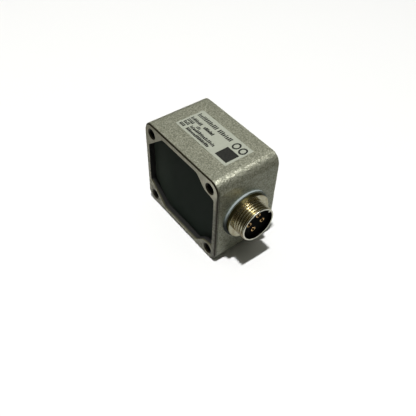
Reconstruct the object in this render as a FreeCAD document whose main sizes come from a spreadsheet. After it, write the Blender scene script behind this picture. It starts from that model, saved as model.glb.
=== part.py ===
import FreeCAD, Part
import math
import os
import re

import Sketcher
from FreeCAD import Rotation, Vector

# Capacitive height-sensor preamplifier for a laser cutting head.
# A small cast box is open at its front, where it bolts against the cutting head, and is filled with
# black resin round its circuit board. A four-way threaded connector stands on the right-hand wall
# and a coaxial input jack on the left-hand wall.
# The origin is the middle of the bottom face. X runs towards the four-way connector, the open face
# looks along -Y, and Z is up. Sizes are in millimetres.

SIZES = {
    "housing_length": 40.5,
    "housing_depth": 25.0,
    "housing_height": 36.0,
    "outline_radius": 4.0,
    "floor_thickness": 2.5,
    "rim_width": 2.0,
    "front_edge_chamfer": 0.5,
    "back_edge_chamfer": 0.4,
    "screw_from_side": 4.25,
    "screw_from_end": 3.75,
    "screw_hole_diameter": 3.4,
    "screw_hole_chamfer": 0.4,
    "left_boss_across": 10.65,
    "left_boss_up": 9.6,
    "left_side_fillet": 0.8,
    "left_end_fillet": 1.5,
    "right_boss_across": 10.85,
    "right_boss_up": 7.0,
    "nose_across": 6.95,
    "nose_up": 5.9,
    "nose_fillet": 2.5,
    "right_side_fillet": 1.0,
    "post_diameter": 5.0,
    "post_height": 2.0,
    "post_along": 10.0,
    "post_up": 8.5,
    "potting_recess": 2.2,
    "label_length": 26.4,
    "label_width": 11.6,
    "label_thickness": 0.12,
    "label_corner_cut": 0.3,
    "label_shift_along": 0.75,
    "label_shift_back": 0.7,
    "plug_shift": -0.65,
    "plug_thread_diameter": 13.0,
    "plug_hole_clearance": 0.1,
    "plug_barrel_end": 6.8,
    "plug_relief_start": 6.2,
    "plug_relief_diameter": 12.6,
    "flange_diameter": 16.8,
    "flange_thickness": 1.4,
    "gasket_diameter": 18.0,
    "gasket_thickness": 0.7,
    "plug_bore_diameter": 11.6,
    "plug_back_bore_diameter": 10.4,
    "insert_seat_depth": 2.0,
    "insert_recess": 1.4,
    "key_width": 0.9,
    "key_height": 0.6,
    "key_setback": 0.25,
    "key_angle": 35.0,
    "plug_nut_across_flats": 16.0,
    "plug_nut_thickness": 2.5,
    "plug_thread_tail": 0.6,
    "contact_diameter": 1.9,
    "contact_bore_diameter": 1.05,
    "contact_bore_depth": 5.0,
    "contact_pair_across": 3.9,
    "contact_pair_along": 4.2,
    "contact_turn": 31.5,
    "contact_tail": 1.5,
    "lead_width": 0.8,
    "lead_bend_radius": 2.0,
    "lead_reach": 5.65,
    "far_lead_reach": 8.05,
    "jack_thread_diameter": 6.35,
    "jack_hole_clearance": 0.1,
    "jack_flange_across_flats": 8.0,
    "jack_flange_thickness": 2.0,
    "jack_length": 9.5,
    "jack_edge_chamfer": 0.3,
    "jack_mouth_diameter": 4.6,
    "jack_mouth_depth": 1.95,
    "jack_dielectric_diameter": 4.1,
    "jack_nut_thickness": 2.0,
    "jack_thread_tail": 0.5,
    "jack_contact_diameter": 1.27,
    "jack_contact_bore_diameter": 0.94,
    "jack_contact_bore_depth": 2.5,
    "jack_slot_width": 0.2,
    "jack_pin_tail": 1.0,
    "jack_lead_width": 0.6,
    "jack_lead_bend_radius": 2.0,
    "jack_lead_reach": 3.75,
    "board_thickness": 1.6,
    "board_side_clearance": 0.75,
    "board_end_clearance": 1.0,
    "board_plug_clearance": 1.15,
    "board_left_chamfer": 8.3,
    "board_right_chamfer": 4.0,
    "coil_along": -7.0,
    "coil_up": -5.5,
    "coil_width": 7.3,
    "coil_height": 4.0,
    "coil_corner_chamfer": 1.2,
    "chip_body_width": 3.9,
    "chip_body_height": 1.5,
    "chip_draft_chamfer": 0.3,
    "amplifier_body_length": 4.9,
    "amplifier_along": -4.5,
    "amplifier_up": 3.5,
    "logic_body_length": 8.65,
    "logic_along": 4.5,
    "logic_up": 8.5,
    "regulator_along": 2.0,
    "regulator_up": -9.7,
    "regulator_length": 6.5,
    "regulator_width": 3.5,
    "regulator_height": 1.6,
    "regulator_lead_pitch": 2.3,
    "regulator_lead_width": 0.7,
    "regulator_lead_span": 7.0,
    "regulator_lead_thickness": 0.2,
    "regulator_lead_height": 0.75,
    "regulator_foot_length": 0.6,
    "regulator_tab_width": 3.0,
    "capacitor_along": 3.5,
    "capacitor_up": -1.5,
    "capacitor_length": 7.3,
    "capacitor_width": 6.1,
    "capacitor_height": 4.5,
    "capacitor_bevel": 1.0,
    "trimmer_along": -3.0,
    "trimmer_up": 10.8,
    "trimmer_length": 4.5,
    "trimmer_width": 3.2,
    "trimmer_height": 1.4,
    "trimmer_slot_width": 0.5,
    "trimmer_slot_depth": 0.3,
    "chip_part_length": 2.0,
    "chip_part_width": 1.25,
    "chip_capacitor_height": 0.9,
    "chip_resistor_height": 0.5,
    "chip_part_pitch": 2.5,
    "chip_part_along": 1.0,
    "chip_capacitor_up": 3.6,
    "chip_resistor_from_edge": 1.7,
}

document = FreeCAD.newDocument("capacitive_preamplifier")
sheet = document.addObject("Spreadsheet::Sheet", "Sizes")
for row, (alias, number) in enumerate(SIZES.items(), start=1):
    sheet.set(f"A{row}", alias)
    sheet.set(f"B{row}", str(number))
    sheet.setAlias(f"B{row}", alias)
document.recompute()


# Formulas: the model's places and sizes are written in words of the sheet.

def formula(text):
    def name_of_cell(match):
        word = match.group(0)
        return f"Sizes.{word}" if word in SIZES else word
    return re.sub(r"[a-z][a-z_]*", name_of_cell, str(text))


def value(text):
    return float(sheet.evalExpression(formula(text)))


def bind(thing, setting, text):
    thing.setExpression(setting, formula(text))


def place(thing, along, across, up, turn=None):
    if turn is not None:
        thing.Placement = FreeCAD.Placement(Vector(), turn)
    bind(thing, "Placement.Base.x", along)
    bind(thing, "Placement.Base.y", across)
    bind(thing, "Placement.Base.z", up)


# Places that several pieces share.

RIGHT_WALL = "housing_length / 2"
LEFT_WALL = "-housing_length / 2"
MIDDLE = "housing_height / 2"
FLOOR = "(housing_depth / 2 - floor_thickness)"
POST_TOP = f"({FLOOR} - post_height)"
BOARD_FRONT = f"({POST_TOP} - board_thickness)"
POTTING_FRONT = "(potting_recess - housing_depth / 2)"

PLUG_NUT_BACK = "(-rim_width - plug_nut_thickness)"
PLUG_SHELL_BACK = f"({PLUG_NUT_BACK} - plug_thread_tail)"
CONTACT_BACK = f"({PLUG_SHELL_BACK} - contact_tail)"
FLANGE_FRONT = "(gasket_thickness + flange_thickness)"
INSERT_SEAT = f"({PLUG_SHELL_BACK} + insert_seat_depth)"
INSERT_FACE = "(plug_barrel_end - insert_recess)"

BOARD_LEFT = f"({LEFT_WALL} + rim_width + board_side_clearance)"
BOARD_RIGHT = f"({RIGHT_WALL} + {CONTACT_BACK} - board_plug_clearance)"
BOARD_MIDDLE = f"(({BOARD_LEFT} + {BOARD_RIGHT}) / 2)"
BOARD_HALF_LENGTH = f"(({BOARD_RIGHT} - {BOARD_LEFT}) / 2)"
BOARD_HALF_WIDTH = "(housing_height / 2 - rim_width - board_end_clearance)"

JACK_NUT_BACK = "(-rim_width - jack_nut_thickness)"
JACK_BODY_BACK = f"({JACK_NUT_BACK} - jack_thread_tail)"
JACK_PIN_BACK = f"({JACK_BODY_BACK} - jack_pin_tail)"
JACK_FACE = "(jack_length - jack_mouth_depth)"

FACING_LEFT = Rotation(Vector(0, 0, 1), 180)
FACING_INWARD = Rotation(Vector(0, 1, 0), 180)
FACING_OPENING = Rotation(Vector(1, 0, 0), 90)


# Tools for sketches and features.

def new_body(name):
    body = document.addObject("PartDesign::Body", name)
    body.Label = name
    return body


def origin_feature(body, role):
    return next(item for item in body.Origin.OriginFeatures if item.Role == role)


def new_sketch(body, name, plane, offset="0"):
    sketch = body.newObject("Sketcher::SketchObject", name)
    sketch.AttachmentSupport = [(origin_feature(body, plane), "")]
    sketch.MapMode = "FlatFace"
    bind(sketch, "AttachmentOffset.Base.z", offset)
    return sketch


def bind_constraint(sketch, name, constraint, text):
    index = sketch.addConstraint(constraint)
    sketch.renameConstraint(index, name)
    sketch.setExpression(f"Constraints.{name}", formula(text))


def fix_point(sketch, edge, end, along, up):
    name = f"p{edge}_{end}"
    at_x = Sketcher.Constraint("DistanceX", edge, end, value(along))
    at_y = Sketcher.Constraint("DistanceY", edge, end, value(up))
    bind_constraint(sketch, f"{name}_x", at_x, along)
    bind_constraint(sketch, f"{name}_y", at_y, up)


def draw_polygon(sketch, corners):
    first = sketch.GeometryCount
    count = len(corners)
    spots = [Vector(value(along), value(up), 0) for along, up in corners]
    for index in range(count):
        sketch.addGeometry(Part.LineSegment(spots[index], spots[(index + 1) % count]), False)
    for index in range(count):
        following = first + (index + 1) % count
        sketch.addConstraint(Sketcher.Constraint("Coincident", first + index, 2, following, 1))
    for index, (along, up) in enumerate(corners):
        fix_point(sketch, first + index, 1, along, up)


def draw_rectangle(sketch, left, bottom, right, top):
    draw_polygon(sketch, [(left, bottom), (right, bottom), (right, top), (left, top)])


def draw_circle(sketch, along, up, diameter):
    centre = Vector(value(along), value(up), 0)
    radius = value(diameter) / 2
    edge = sketch.addGeometry(Part.Circle(centre, Vector(0, 0, 1), radius), False)
    fix_point(sketch, edge, 3, along, up)
    size = Sketcher.Constraint("Diameter", edge, 2 * radius)
    bind_constraint(sketch, f"circle{edge}", size, diameter)


def draw_hexagon(sketch, across_flats):
    corner = f"({across_flats}) / sqrt(3)"
    side = f"({across_flats}) / 2"
    half = f"({across_flats}) / (2 * sqrt(3))"
    corners = [
        (f"-({side})", f"-({half})"),
        ("0", f"-({corner})"),
        (side, f"-({half})"),
        (side, half),
        ("0", corner),
        (f"-({side})", half),
    ]
    draw_polygon(sketch, corners)


def pad(body, sketch, length, symmetric=False, backwards=False):
    feature = body.newObject("PartDesign::Pad", f"{sketch.Name}_pad")
    feature.Profile = sketch
    feature.SideType = "Symmetric" if symmetric else "One side"
    feature.Reversed = backwards
    bind(feature, "Length", length)
    return finish_feature(body, feature)


def pocket(body, sketch, depth, backwards=False):
    feature = body.newObject("PartDesign::Pocket", f"{sketch.Name}_pocket")
    feature.Profile = sketch
    feature.Reversed = backwards
    bind(feature, "Length", depth)
    return finish_feature(body, feature)


def revolve(body, sketch):
    feature = body.newObject("PartDesign::Revolution", f"{sketch.Name}_turned")
    feature.Profile = sketch
    feature.ReferenceAxis = (origin_feature(body, "X_Axis"), [""])
    feature.Angle = 360
    return finish_feature(body, feature)


def repeat(body, feature, axis, length, count):
    pattern = body.newObject("PartDesign::LinearPattern", f"{feature.Name}_row")
    pattern.Originals = [feature]
    pattern.Direction = (origin_feature(body, axis), [""])
    bind(pattern, "Length", length)
    pattern.Occurrences = count
    return finish_feature(body, pattern)


def edges_of(feature, chosen):
    return [f"Edge{index}" for index, edge in enumerate(feature.Shape.Edges, start=1) if chosen(edge)]


def fillet(body, feature, radius, chosen):
    rounded = body.newObject("PartDesign::Fillet", f"{feature.Name}_fillet")
    rounded.Base = (feature, edges_of(feature, chosen))
    bind(rounded, "Radius", radius)
    return finish_feature(body, rounded)


def chamfer(body, feature, size, chosen):
    bevelled = body.newObject("PartDesign::Chamfer", f"{feature.Name}_chamfer")
    bevelled.Base = (feature, edges_of(feature, chosen))
    bind(bevelled, "Size", size)
    return finish_feature(body, bevelled)


def finish_feature(body, feature):
    body.Tip = feature
    document.recompute()
    return feature


def lies_on(edge, axis, level):
    box = edge.BoundBox
    low, high = {"x": (box.XMin, box.XMax), "y": (box.YMin, box.YMax), "z": (box.ZMin, box.ZMax)}[axis]
    return abs(low - level) < 1e-4 and abs(high - level) < 1e-4


def runs_along(edge, axis):
    if not isinstance(edge.Curve, (Part.Line, Part.LineSegment)):
        return False
    direction = edge.tangentAt(edge.FirstParameter)
    return abs(abs(getattr(direction, axis)) - 1) < 1e-6


def ring_finder(diameter, *levels):
    radius = value(diameter) / 2
    heights = [value(level) for level in levels]

    def is_ring(edge):
        round_edge = isinstance(edge.Curve, Part.Circle) and abs(edge.Curve.Radius - radius) < 1e-4
        return round_edge and any(lies_on(edge, "y", height) for height in heights)

    return is_ring


def turned_profile(body, name, corners):
    sketch = new_sketch(body, name, "XY_Plane")
    draw_polygon(sketch, corners)
    return revolve(body, sketch)


# The housing: one aluminium casting, rounded in outline and open at the front. The cavity keeps
# clear of a screw boss in each corner: the two bosses near the plug are smaller and have a nose.

def cavity_corners():
    low = [
        (f"{LEFT_WALL} + rim_width", "left_boss_up", "left_side_fillet"),
        (f"{LEFT_WALL} + left_boss_across", "rim_width", "left_end_fillet"),
        (f"{RIGHT_WALL} - right_boss_across", "rim_width", "nose_fillet"),
        (f"{RIGHT_WALL} - nose_across", "nose_up", "nose_fillet"),
        (f"{RIGHT_WALL} - rim_width", "right_boss_up", "right_side_fillet"),
    ]
    high = [(along, f"housing_height - ({up})", radius) for along, up, radius in reversed(low)]
    return low + high


def draw_cavity(body, name, offset):
    sketch = new_sketch(body, name, "XZ_Plane", offset)
    draw_polygon(sketch, [(along, up) for along, up, radius in cavity_corners()])
    return sketch


def round_cavity(body, feature):
    radii = dict.fromkeys(radius for along, up, radius in cavity_corners())
    for radius in radii:
        spots = [(value(along), value(up)) for along, up, name in cavity_corners() if name == radius]

        def at_corner(edge):
            start = edge.Vertexes[0].Point
            near = [abs(start.x - x) < 1e-4 and abs(start.z - z) < 1e-4 for x, z in spots]
            return runs_along(edge, "y") and any(near)

        feature = fillet(body, feature, radius, at_corner)
    return feature


def screw_places():
    for side in (-1, 1):
        for level in (-1, 1):
            along = f"{side} * (housing_length / 2 - screw_from_side)"
            up = f"{MIDDLE} + {level} * (housing_height / 2 - screw_from_end)"
            yield along, up


def make_housing():
    body = new_body("housing")
    outline = new_sketch(body, "housing_outline", "XZ_Plane")
    draw_rectangle(outline, LEFT_WALL, "0", RIGHT_WALL, "housing_height")
    block = pad(body, outline, "housing_depth", symmetric=True)
    block = fillet(body, block, "outline_radius", lambda edge: runs_along(edge, "y"))
    back = value("housing_depth") / 2
    block = chamfer(body, block, "front_edge_chamfer", lambda edge: lies_on(edge, "y", -back))
    chamfer(body, block, "back_edge_chamfer", lambda edge: lies_on(edge, "y", back))

    opening = draw_cavity(body, "cavity_outline", "housing_depth / 2")
    cavity = pocket(body, opening, "housing_depth - floor_thickness")
    round_cavity(body, cavity)

    posts = new_sketch(body, "post_outline", "XZ_Plane", f"-{FLOOR}")
    for side in (-1, 1):
        draw_circle(posts, f"{BOARD_MIDDLE} + {side} * post_along", f"{MIDDLE} + {-side} * post_up",
                    "post_diameter")
    pad(body, posts, "post_height")

    screw_holes = new_sketch(body, "screw_holes", "XZ_Plane", "housing_depth / 2")
    for along, up in screw_places():
        draw_circle(screw_holes, along, up, "screw_hole_diameter")
    drilled = pocket(body, screw_holes, "housing_depth")
    mouths = ring_finder("screw_hole_diameter", "-housing_depth / 2")
    chamfer(body, drilled, "screw_hole_chamfer", mouths)

    plug_hole = new_sketch(body, "plug_hole", "YZ_Plane", RIGHT_WALL)
    draw_circle(plug_hole, "plug_shift", MIDDLE, "plug_thread_diameter + 2 * plug_hole_clearance")
    pocket(body, plug_hole, "1.5 * rim_width")
    jack_hole = new_sketch(body, "jack_hole", "YZ_Plane", LEFT_WALL)
    draw_circle(jack_hole, "0", MIDDLE, "jack_thread_diameter + 2 * jack_hole_clearance")
    pocket(body, jack_hole, "1.5 * rim_width", backwards=True)
    return body


# The label on the top face is a thin sheet with rounded corners.

def make_label():
    body = new_body("label")
    sketch = new_sketch(body, "label_outline", "XY_Plane")
    half_length = "label_length / 2"
    half_width = "label_width / 2"
    draw_rectangle(sketch, f"-{half_length}", f"-{half_width}", half_length, half_width)
    sheet_of_film = pad(body, sketch, "label_thickness")
    chamfer(body, sheet_of_film, "label_corner_cut", lambda edge: runs_along(edge, "z"))
    place(body, "label_shift_along", "label_shift_back", "housing_height")
    return body


# The four-way connector. Its own X axis points out of the wall and starts at the wall's face.

def place_on_right_wall(body):
    place(body, RIGHT_WALL, "plug_shift", MIDDLE)


def make_gasket():
    body = new_body("sealing_gasket")
    corners = [
        ("0", "plug_thread_diameter / 2"),
        ("gasket_thickness", "plug_thread_diameter / 2"),
        ("gasket_thickness", "gasket_diameter / 2"),
        ("0", "gasket_diameter / 2"),
    ]
    turned_profile(body, "gasket_section", corners)
    place_on_right_wall(body)
    return body


def make_connector_shell():
    body = new_body("connector_shell")
    thread = "plug_thread_diameter / 2"
    flange = "flange_diameter / 2"
    relief = "plug_relief_diameter / 2"
    corners = [
        (PLUG_SHELL_BACK, "plug_back_bore_diameter / 2"),
        (INSERT_SEAT, "plug_back_bore_diameter / 2"),
        (INSERT_SEAT, "plug_bore_diameter / 2"),
        ("plug_barrel_end", "plug_bore_diameter / 2"),
        ("plug_barrel_end", relief),
        ("plug_relief_start", relief),
        ("plug_relief_start", thread),
        (FLANGE_FRONT, thread),
        (FLANGE_FRONT, flange),
        ("gasket_thickness", flange),
        ("gasket_thickness", thread),
        (PLUG_SHELL_BACK, thread),
    ]
    turned_profile(body, "shell_section", corners)

    key = new_sketch(body, "key_outline", "YZ_Plane", INSERT_FACE)
    bore = "plug_bore_diameter / 2"
    draw_rectangle(key, f"{bore} - key_height", "-key_width / 2", f"{bore} + key_height / 3", "key_width / 2")
    key.AttachmentOffset = FreeCAD.Placement(Vector(), Rotation(Vector(0, 0, 1), value("key_angle")))
    bind(key, "AttachmentOffset.Base.z", INSERT_FACE)
    bind(key, "AttachmentOffset.Rotation.Angle", "key_angle")
    pad(body, key, "insert_recess - key_setback")
    place_on_right_wall(body)
    return body


def contact_places():
    for side in (-1, 1):
        for level in (-1, 1):
            along = f"{side} * contact_pair_along / 2"
            across = f"{level} * contact_pair_across / 2"
            turned_y = f"({along}) * cos(contact_turn) - ({across}) * sin(contact_turn)"
            turned_z = f"({along}) * sin(contact_turn) + ({across}) * cos(contact_turn)"
            yield turned_y, turned_z


def make_connector_insert():
    body = new_body("connector_insert")
    disc = new_sketch(body, "insert_outline", "YZ_Plane", INSERT_SEAT)
    draw_circle(disc, "0", "0", "plug_bore_diameter")
    for across, up in contact_places():
        draw_circle(disc, across, up, "contact_diameter")
    pad(body, disc, f"{INSERT_FACE} - {INSERT_SEAT}")
    place_on_right_wall(body)
    return body


# A contact is a turned pin with a bore in front for the mating plug's own pin.

def make_contact(number, across, up):
    body = new_body(f"contact_{number}")
    bore_floor = f"({INSERT_FACE} - contact_bore_depth)"
    corners = [
        (CONTACT_BACK, "0"),
        (bore_floor, "0"),
        (bore_floor, "contact_bore_diameter / 2"),
        (INSERT_FACE, "contact_bore_diameter / 2"),
        (INSERT_FACE, "contact_diameter / 2"),
        (CONTACT_BACK, "contact_diameter / 2"),
    ]
    turned_profile(body, f"contact_section_{number}", corners)
    place(body, RIGHT_WALL, f"plug_shift + {across}", f"{MIDDLE} + {up}")
    return body


def make_connector_nut():
    body = new_body("connector_nut")
    outline = new_sketch(body, "plug_nut_outline", "YZ_Plane", PLUG_NUT_BACK)
    draw_hexagon(outline, "plug_nut_across_flats")
    draw_circle(outline, "0", "0", "plug_thread_diameter")
    pad(body, outline, "plug_nut_thickness")
    place_on_right_wall(body)
    return body


# A lead is square tinned copper wire. It runs straight in from its contact, along its own X axis,
# bends once and meets the board square on.

def make_lead(name, reach, drop, bend_radius, width):
    body = new_body(name)
    route = new_sketch(body, f"{name}_route", "XY_Plane")
    radius = value(bend_radius)
    bend_start = Vector(value(f"{reach} - {bend_radius}"), 0, 0)
    bend_end = Vector(value(reach), radius, 0)
    centre = Vector(bend_start.x, radius, 0)
    bend = Part.ArcOfCircle(Part.Circle(centre, Vector(0, 0, 1), radius), -math.pi / 2, 0)
    finish = Vector(bend_end.x, value(drop), 0)
    route.addGeometry(Part.LineSegment(Vector(), bend_start), False)
    route.addGeometry(bend, False)
    route.addGeometry(Part.LineSegment(bend_end, finish), False)
    route.addConstraint(Sketcher.Constraint("Coincident", 0, 1, -1, 1))
    route.addConstraint(Sketcher.Constraint("Horizontal", 0))
    route.addConstraint(Sketcher.Constraint("Vertical", 2))
    route.addConstraint(Sketcher.Constraint("Tangent", 0, 2, 1, 1))
    route.addConstraint(Sketcher.Constraint("Tangent", 1, 2, 2, 1))
    bind_constraint(route, "bend_radius", Sketcher.Constraint("Radius", 1, radius), bend_radius)
    fix_point(route, 2, 2, reach, drop)

    section = new_sketch(body, f"{name}_section", "YZ_Plane")
    half = f"{width} / 2"
    draw_rectangle(section, f"-{half}", f"-{half}", half, half)
    pipe = body.newObject("PartDesign::AdditivePipe", f"{name}_pipe")
    pipe.Profile = section
    pipe.Spine = (route, ["Edge1", "Edge2", "Edge3"])
    finish_feature(body, pipe)
    return body


def make_lead_wires():
    for number, (across, up) in enumerate(contact_places(), start=1):
        reach = "far_lead_reach" if number == 2 else "lead_reach"
        start_across = f"plug_shift + {across}"
        body = make_lead(f"lead_wire_{number}", reach, f"{BOARD_FRONT} - ({start_across})",
                         "lead_bend_radius", "lead_width")
        place(body, f"{RIGHT_WALL} + {CONTACT_BACK}", start_across, f"{MIDDLE} + {up}",
              turn=FACING_INWARD)


# The coaxial jack. Its own X axis points out of the left wall and starts at the wall's face.

def place_on_left_wall(body):
    place(body, LEFT_WALL, "0", MIDDLE, turn=FACING_LEFT)


def make_coax_body():
    body = new_body("coax_body")
    thread = "jack_thread_diameter / 2"
    corners = [
        (JACK_BODY_BACK, "jack_dielectric_diameter / 2"),
        (JACK_FACE, "jack_dielectric_diameter / 2"),
        (JACK_FACE, "jack_mouth_diameter / 2"),
        ("jack_length", "jack_mouth_diameter / 2"),
        ("jack_length", f"{thread} - jack_edge_chamfer"),
        ("jack_length - jack_edge_chamfer", thread),
        (JACK_BODY_BACK, thread),
    ]
    turned_profile(body, "jack_section", corners)
    flange = new_sketch(body, "jack_flange", "YZ_Plane")
    draw_hexagon(flange, "jack_flange_across_flats")
    draw_circle(flange, "0", "0", "jack_dielectric_diameter")
    pad(body, flange, "jack_flange_thickness")
    place_on_left_wall(body)
    return body


def make_coax_dielectric():
    body = new_body("coax_dielectric")
    corners = [
        (JACK_BODY_BACK, "jack_contact_diameter / 2"),
        (JACK_FACE, "jack_contact_diameter / 2"),
        (JACK_FACE, "jack_dielectric_diameter / 2"),
        (JACK_BODY_BACK, "jack_dielectric_diameter / 2"),
    ]
    turned_profile(body, "dielectric_section", corners)
    place_on_left_wall(body)
    return body


def make_coax_contact():
    body = new_body("coax_contact")
    bore_floor = f"({JACK_FACE} - jack_contact_bore_depth)"
    corners = [
        (JACK_PIN_BACK, "0"),
        (bore_floor, "0"),
        (bore_floor, "jack_contact_bore_diameter / 2"),
        (JACK_FACE, "jack_contact_bore_diameter / 2"),
        (JACK_FACE, "jack_contact_diameter / 2"),
        (JACK_PIN_BACK, "jack_contact_diameter / 2"),
    ]
    turned_profile(body, "jack_contact_section", corners)
    slots = new_sketch(body, "jack_contact_slots", "YZ_Plane", JACK_FACE)
    half = "jack_slot_width / 2"
    reach = "jack_contact_diameter"
    corners = [
        (f"-{reach}", f"-{half}"), (f"-{half}", f"-{half}"), (f"-{half}", f"-{reach}"),
        (half, f"-{reach}"), (half, f"-{half}"), (reach, f"-{half}"),
        (reach, half), (half, half), (half, reach),
        (f"-{half}", reach), (f"-{half}", half), (f"-{reach}", half),
    ]
    draw_polygon(slots, corners)
    pocket(body, slots, "jack_contact_bore_depth")
    place_on_left_wall(body)
    return body


def make_coax_nut():
    body = new_body("coax_nut")
    outline = new_sketch(body, "jack_nut_outline", "YZ_Plane", JACK_NUT_BACK)
    draw_hexagon(outline, "jack_flange_across_flats")
    draw_circle(outline, "0", "0", "jack_thread_diameter")
    pad(body, outline, "jack_nut_thickness")
    place_on_left_wall(body)
    return body


def make_coax_lead():
    body = make_lead("coax_lead", "jack_lead_reach", BOARD_FRONT,
                     "jack_lead_bend_radius", "jack_lead_width")
    place(body, f"{LEFT_WALL} - {JACK_PIN_BACK}", "0", MIDDLE)
    return body


# The circuit board lies across the two posts, its parts towards the open face.

def make_circuit_board():
    body = new_body("circuit_board")
    left = "board_left_chamfer"
    right = "board_right_chamfer"
    corners = [
        (f"-{BOARD_HALF_LENGTH}", f"-{BOARD_HALF_WIDTH} + {left}"),
        (f"-{BOARD_HALF_LENGTH} + {left}", f"-{BOARD_HALF_WIDTH}"),
        (f"{BOARD_HALF_LENGTH} - {right}", f"-{BOARD_HALF_WIDTH}"),
        (BOARD_HALF_LENGTH, f"-{BOARD_HALF_WIDTH} + {right}"),
        (BOARD_HALF_LENGTH, f"{BOARD_HALF_WIDTH} - {right}"),
        (f"{BOARD_HALF_LENGTH} - {right}", BOARD_HALF_WIDTH),
        (f"-{BOARD_HALF_LENGTH} + {left}", BOARD_HALF_WIDTH),
        (f"-{BOARD_HALF_LENGTH}", f"{BOARD_HALF_WIDTH} - {left}"),
    ]
    outline = new_sketch(body, "board_outline", "XZ_Plane")
    draw_polygon(outline, corners)
    pad(body, outline, "board_thickness")
    place(body, BOARD_MIDDLE, POST_TOP, MIDDLE)
    return body


def place_on_board(body, along, up):
    place(body, f"{BOARD_MIDDLE} + {along}", BOARD_FRONT, f"{MIDDLE} + {up}")


def make_oscillator_coil():
    body = new_body("oscillator_coil")
    outline = new_sketch(body, "coil_outline", "XZ_Plane")
    half = "coil_width / 2"
    draw_rectangle(outline, f"-{half}", f"-{half}", half, half)
    block = pad(body, outline, "coil_height")
    chamfer(body, block, "coil_corner_chamfer", lambda edge: runs_along(edge, "y"))
    place_on_board(body, "coil_along", "coil_up")
    return body


# A chip is a leadless moulded body. The regulator also has gull-wing leads along both long sides.
# Each is drawn lying on its back and then stood against the board.

def add_gull_wings(body, name, side, span, pitch, count, width):
    outer = f"{side} * ({span}) / 2"
    foot = f"{side} * (({span}) / 2 - regulator_foot_length)"
    bend = f"{side} * (({span}) / 2 - regulator_foot_length + regulator_lead_thickness)"
    row = f"{pitch} * {count - 1}"
    corners = [
        ("0", "regulator_lead_height"),
        (foot, "regulator_lead_height"),
        (foot, "0"),
        (outer, "0"),
        (outer, "regulator_lead_thickness"),
        (bend, "regulator_lead_thickness"),
        (bend, "regulator_lead_height + regulator_lead_thickness"),
        ("0", "regulator_lead_height + regulator_lead_thickness"),
    ]
    sketch = new_sketch(body, name, "YZ_Plane", f"-({row}) / 2 - ({width}) / 2")
    draw_polygon(sketch, corners)
    wing = pad(body, sketch, width)
    if count > 1:
        repeat(body, wing, "X_Axis", row, count)


def add_moulding(body, name, length, width, height):
    outline = new_sketch(body, name, "XY_Plane")
    draw_rectangle(outline, f"-({length}) / 2", f"-({width}) / 2", f"({length}) / 2", f"({width}) / 2")
    block = pad(body, outline, height)
    top = value(height)
    chamfer(body, block, "chip_draft_chamfer", lambda edge: runs_along(edge, "x") and lies_on(edge, "z", top))


def stand_on_board(body, along, up):
    body.Placement = FreeCAD.Placement(Vector(), FACING_OPENING)
    place_on_board(body, along, up)


def make_chip(name, length, along, up):
    body = new_body(name)
    add_moulding(body, f"{name}_outline", length, "chip_body_width", "chip_body_height")
    stand_on_board(body, along, up)


def make_voltage_regulator():
    body = new_body("voltage_regulator")
    add_moulding(body, "regulator_outline", "regulator_length", "regulator_width", "regulator_height")
    add_gull_wings(body, "regulator_leads", -1, "regulator_lead_span", "regulator_lead_pitch",
                   3, "regulator_lead_width")
    add_gull_wings(body, "regulator_tab", 1, "regulator_lead_span", "regulator_lead_pitch",
                   1, "regulator_tab_width")
    stand_on_board(body, "regulator_along", "regulator_up")
    return body


def make_reservoir_capacitor():
    body = new_body("reservoir_capacitor")
    outline = new_sketch(body, "capacitor_outline", "XZ_Plane")
    half_length = "capacitor_length / 2"
    half_width = "capacitor_width / 2"
    draw_rectangle(outline, f"-{half_width}", f"-{half_length}", half_width, half_length)
    brick = pad(body, outline, "capacitor_height")
    end = -value("capacitor_height")
    chamfer(body, brick, "capacitor_bevel", lambda edge: runs_along(edge, "x") and lies_on(edge, "y", end))
    place_on_board(body, "capacitor_along", "capacitor_up")


def make_trimmer_capacitor():
    body = new_body("trimmer_capacitor")
    outline = new_sketch(body, "trimmer_outline", "XZ_Plane")
    half_length = "trimmer_length / 2"
    half_width = "trimmer_width / 2"
    draw_rectangle(outline, f"-{half_length}", f"-{half_width}", half_length, half_width)
    pad(body, outline, "trimmer_height")
    slot = new_sketch(body, "trimmer_slot", "XZ_Plane", "trimmer_height")
    half_slot = "trimmer_slot_width / 2"
    draw_rectangle(slot, f"-{half_length} / 2", f"-{half_slot}", f"{half_length} / 2", half_slot)
    pocket(body, slot, "trimmer_slot_depth")
    place_on_board(body, "trimmer_along", "trimmer_up")


def make_chip_part(name, height, column, up):
    block = document.addObject("Part::Box", name)
    block.Label = name
    bind(block, "Length", "chip_part_width")
    bind(block, "Width", height)
    bind(block, "Height", "chip_part_length")
    middle = f"{BOARD_MIDDLE} + chip_part_along + {column} * chip_part_pitch"
    place(block, f"{middle} - chip_part_width / 2", f"{BOARD_FRONT} - {height}",
          f"{MIDDLE} + {up} - chip_part_length / 2")
    return block


def make_chip_parts():
    for column in range(3):
        make_chip_part(f"chip_capacitor_{column + 1}", "chip_capacitor_height", column, "chip_capacitor_up")
    for column in range(4):
        make_chip_part(f"chip_resistor_{column + 1}", "chip_resistor_height", column,
                       f"({BOARD_HALF_WIDTH} - chip_resistor_from_edge)")


# The resin is poured last: it fills the cavity up to a little below the rim and closes round
# everything that is already in there.

def make_potting(poured_round):
    filling = new_body("potting_fill")
    surface = draw_cavity(filling, "potting_outline", f"-{POTTING_FRONT}")
    block = pad(filling, surface, f"{FLOOR} - {POTTING_FRONT}", backwards=True)
    round_cavity(filling, block)
    enclosed = document.addObject("Part::MultiFuse", "enclosed_pieces")
    enclosed.Shapes = poured_round
    potting = document.addObject("Part::Cut", "potting")
    potting.Label = "potting"
    potting.Base = filling
    potting.Tool = enclosed
    document.recompute()
    return potting


# The whole assembly, from the casting outwards.

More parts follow.
